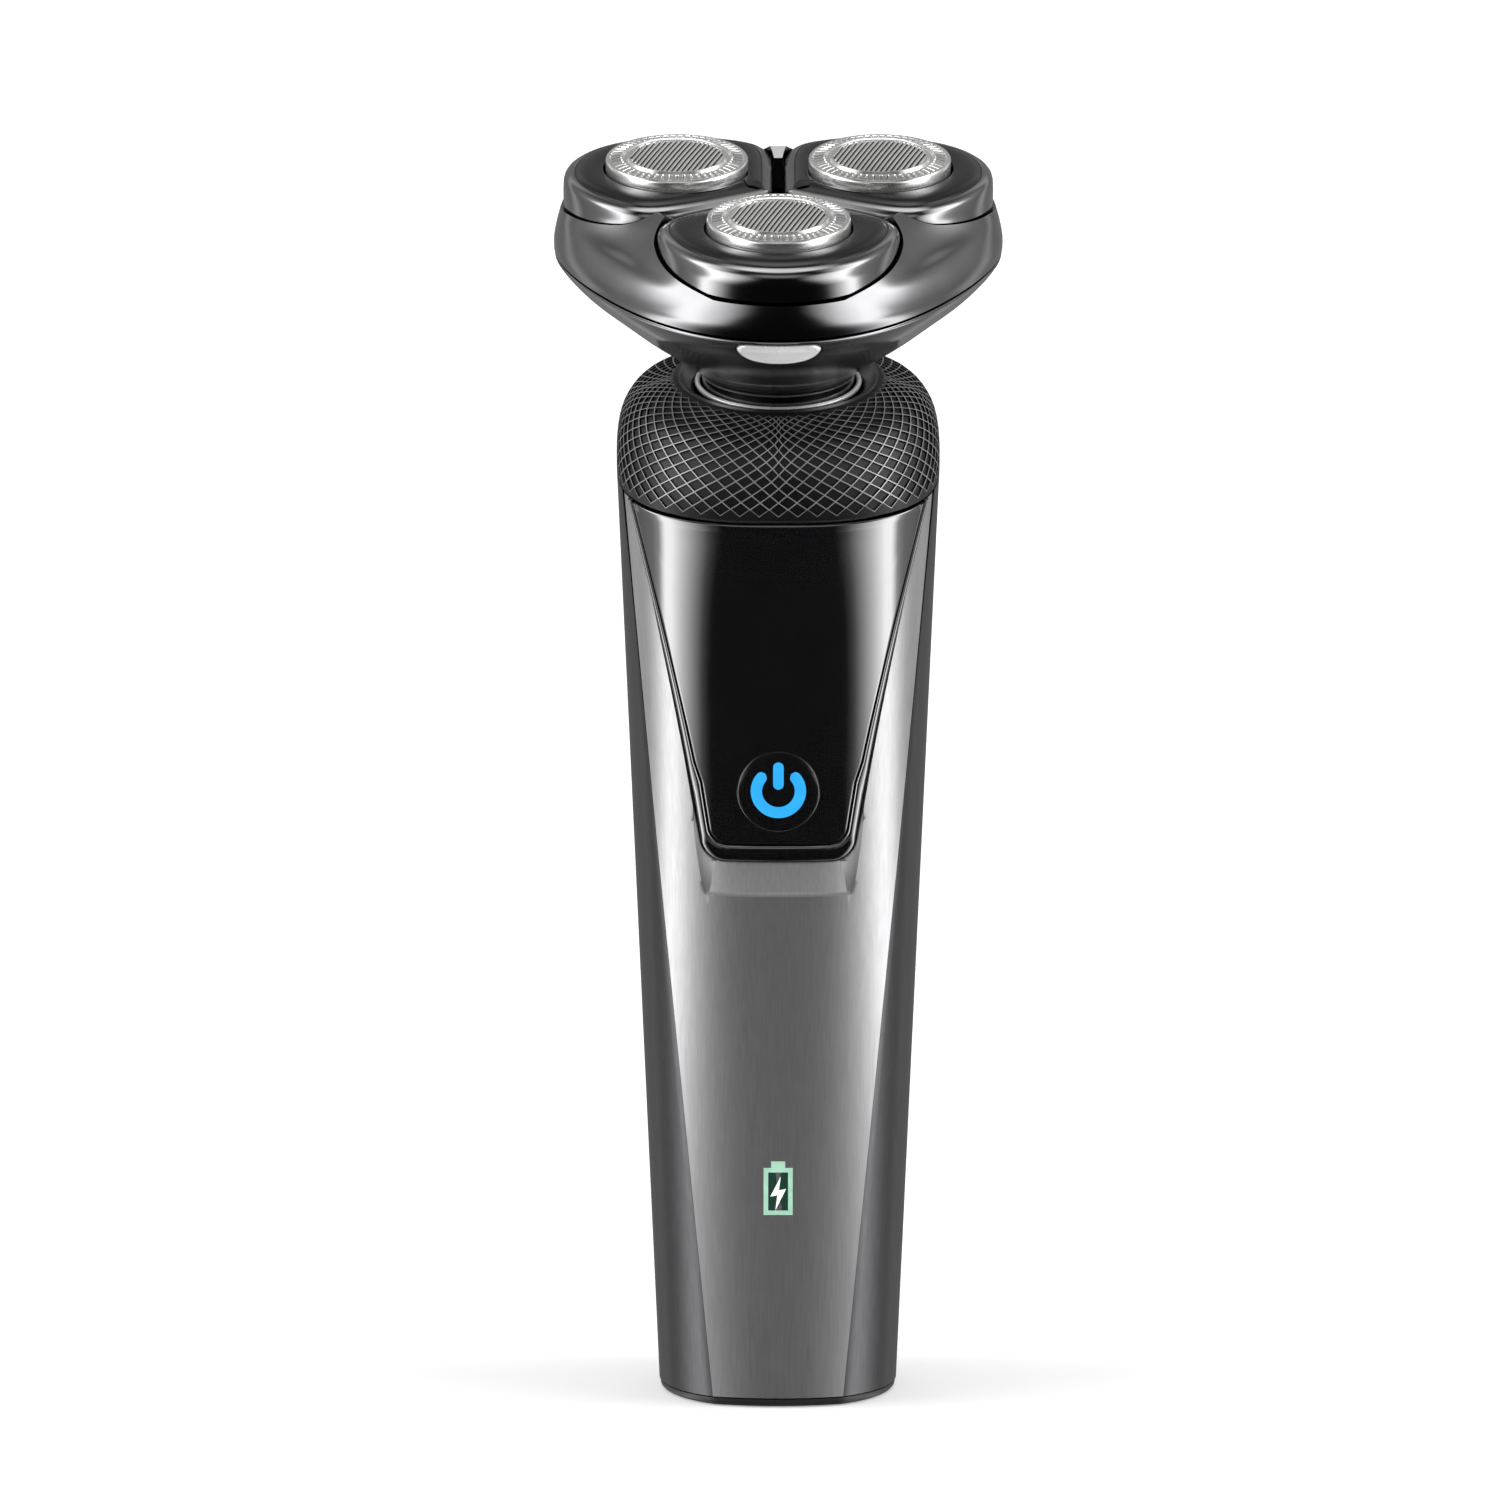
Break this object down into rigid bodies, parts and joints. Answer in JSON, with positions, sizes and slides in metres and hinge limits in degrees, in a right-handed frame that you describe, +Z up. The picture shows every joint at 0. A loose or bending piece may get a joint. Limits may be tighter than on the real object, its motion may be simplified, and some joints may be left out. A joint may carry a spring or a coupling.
{
  "type": "rotary electric shaver",
  "caption": "Upright cordless rotary shaver: tapered handle with gloss front panel and lit power key, knurled collar, and a tilting head of sprung round cutters that flips open for cleaning.",
  "frame": {"origin": "centre of the flat underside of the handle", "axes": "+Z up the handle towards the cutting head, -Y towards the front panel, +X to the viewer's right"},
  "size_m": [0.0596, 0.0606, 0.1702],
  "materials": {
    "satin_silver": "satin metallic paint with a fine brushed grain",
    "dark_metal": "dark grey metallic paint",
    "gloss_black": "polished",
    "black_plastic": "fine texture",
    "grip_black": "diamond lattice",
    "head_metal": "dark metallic lacquer",
    "grey_plastic": "satin",
    "steel": "polished",
    "silver_button": "satin",
    "blue_light": "lit light guide",
    "mint_light": "lit light guide",
    "white_light": "lit light guide",
    "dark_window": "polished",
    "circuit_green": "solder mask",
    "battery_wrap": "shrink-wrapped",
    "nickel": "nickel plated",
    "armature_steel": "laminated",
    "white_acetal": "moulded",
    "frame_grey": "moulded"
  },
  "bodies": {
    "handle": {"front_shell": "satin_silver", "rear_shell": "dark_metal", "base_cap": "black_plastic", "charging_socket": "steel", "base_screw_1": "nickel", "base_screw_2": "nickel", "panel_bezel": "gloss_black", "panel_window": "gloss_black", "charge_indicator": "mint_light", "charge_window": "dark_window", "charge_bolt": "white_light", "circuit_board": "circuit_green", "key_switch": "black_plastic", "power_light": "white_light", "charge_light": "white_light", "chassis": "frame_grey", "battery_cell": "battery_wrap", "battery_contact_low": "nickel", "battery_contact_high": "nickel", "motor_can": "nickel", "motor_end_cap": "black_plastic", "motor_mount": "frame_grey", "collar": "grip_black", "neck_ring": "grey_plastic", "neck_post": "frame_grey"},
    "power_key": {"power_button": "gloss_black", "power_symbol_ring": "blue_light", "power_symbol_bar": "blue_light"},
    "rotor": {"armature": "armature_steel", "motor_shaft": "steel", "ball_coupling": "white_acetal"},
    "gimbal": {"gimbal_ring": "nickel"},
    "head": {"head_base": "head_metal", "hinge_pin": "steel", "gear_plate": "frame_grey", "gear_cover": "grey_plastic"},
    "release": {"release_button": "silver_button"},
    "centre_gear": {"sun_gear": "white_acetal"},
    "upper_head": {"cutter_frame": "head_metal", "retaining_plate": "black_plastic"},
    "gear_1": {"driven_gear_1": "white_acetal"},
    "pod_1": {"pod_1": "head_metal", "guard_1": "steel"},
    "cutter_1": {"cutter_1": "steel"},
    "gear_2": {"driven_gear_2": "white_acetal"},
    "pod_2": {"pod_2": "head_metal", "guard_2": "steel"},
    "cutter_2": {"cutter_2": "steel"},
    "gear_3": {"driven_gear_3": "white_acetal"},
    "pod_3": {"pod_3": "head_metal", "guard_3": "steel"},
    "cutter_3": {"cutter_3": "steel"}
  },
  "joints": [
    {"name": "power_press", "type": "slide", "parent": "handle", "child": "power_key", "axis": [0, 1, 0], "range_m": [0, 0.0004], "stiffness_N_per_m": 1500, "springref_m": -0.0005},
    {"name": "motor_spin", "type": "hinge", "parent": "handle", "child": "rotor", "pos_m": [0, -0.0027, 0.1386], "axis": [0, -0.225, 0.9744], "continuous": true},
    {"name": "head_pitch", "type": "hinge", "parent": "handle", "child": "gimbal", "pos_m": [0, -0.0027, 0.1386], "axis": [1, 0, 0], "range_deg": [-6, 6], "stiffness_Nm_per_rad": 0.3},
    {"name": "head_roll", "type": "hinge", "parent": "gimbal", "child": "head", "pos_m": [0, -0.0027, 0.1386], "axis": [0, 0.9744, 0.225], "range_deg": [-6, 6], "stiffness_Nm_per_rad": 0.3},
    {"name": "release_press", "type": "slide", "parent": "head", "child": "release", "axis": [0, 0.9744, 0.225], "range_m": [0, 0.0009], "stiffness_N_per_m": 300, "springref_m": -0.001},
    {"name": "centre_gear_spin", "type": "hinge", "parent": "head", "child": "centre_gear", "pos_m": [0, -0.00562, 0.15127], "axis": [0, -0.225, 0.9744], "continuous": true},
    {"name": "lid_open", "type": "hinge", "parent": "head", "child": "upper_head", "pos_m": [0, 0.02109, 0.16092], "axis": [-1, 0, 0], "range_deg": [0, 100]},
    {"name": "gear_spin_1", "type": "hinge", "parent": "head", "child": "gear_1", "pos_m": [0, -0.02082, 0.14776], "axis": [0, -0.225, 0.9744], "continuous": true},
    {"name": "gear_spin_2", "type": "hinge", "parent": "head", "child": "gear_2", "pos_m": [0.01351, 0.00198, 0.15302], "axis": [0, -0.225, 0.9744], "continuous": true},
    {"name": "gear_spin_3", "type": "hinge", "parent": "head", "child": "gear_3", "pos_m": [-0.01351, 0.00198, 0.15302], "axis": [0, -0.225, 0.9744], "continuous": true},
    {"name": "pod_tilt_1", "type": "hinge", "parent": "upper_head", "child": "pod_1", "pos_m": [0, -0.03624, 0.15497], "axis": [-1, 0, 0], "range_deg": [0, 4], "stiffness_Nm_per_rad": 0.05, "springref_deg": -5.73},
    {"name": "pod_tilt_2", "type": "hinge", "parent": "upper_head", "child": "pod_2", "pos_m": [0.02511, 0.00614, 0.16476], "axis": [0.5, -0.8438, -0.1948], "range_deg": [0, 4], "stiffness_Nm_per_rad": 0.05, "springref_deg": -5.73},
    {"name": "pod_tilt_3", "type": "hinge", "parent": "upper_head", "child": "pod_3", "pos_m": [-0.02511, 0.00614, 0.16476], "axis": [0.5, 0.8438, 0.1948], "range_deg": [0, 4], "stiffness_Nm_per_rad": 0.05, "springref_deg": -5.73},
    {"name": "cutter_spin_1", "type": "hinge", "parent": "pod_1", "child": "cutter_1", "pos_m": [0, -0.02289, 0.15672], "axis": [0, -0.225, 0.9744], "continuous": true},
    {"name": "cutter_spin_2", "type": "hinge", "parent": "pod_2", "child": "cutter_2", "pos_m": [0.01351, -0.00009, 0.16199], "axis": [0, -0.225, 0.9744], "continuous": true},
    {"name": "cutter_spin_3", "type": "hinge", "parent": "pod_3", "child": "cutter_3", "pos_m": [-0.01351, -0.00009, 0.16199], "axis": [0, -0.225, 0.9744], "continuous": true}
  ],
  "couplings": [
    {"joint": "centre_gear_spin", "follows": "motor_spin", "ratio": 1},
    {"joint": "gear_spin_1", "follows": "motor_spin", "ratio": -0.5},
    {"joint": "gear_spin_2", "follows": "motor_spin", "ratio": -0.5},
    {"joint": "gear_spin_3", "follows": "motor_spin", "ratio": -0.5},
    {"joint": "cutter_spin_1", "follows": "motor_spin", "ratio": -0.5},
    {"joint": "cutter_spin_2", "follows": "motor_spin", "ratio": -0.5},
    {"joint": "cutter_spin_3", "follows": "motor_spin", "ratio": -0.5}
  ]
}
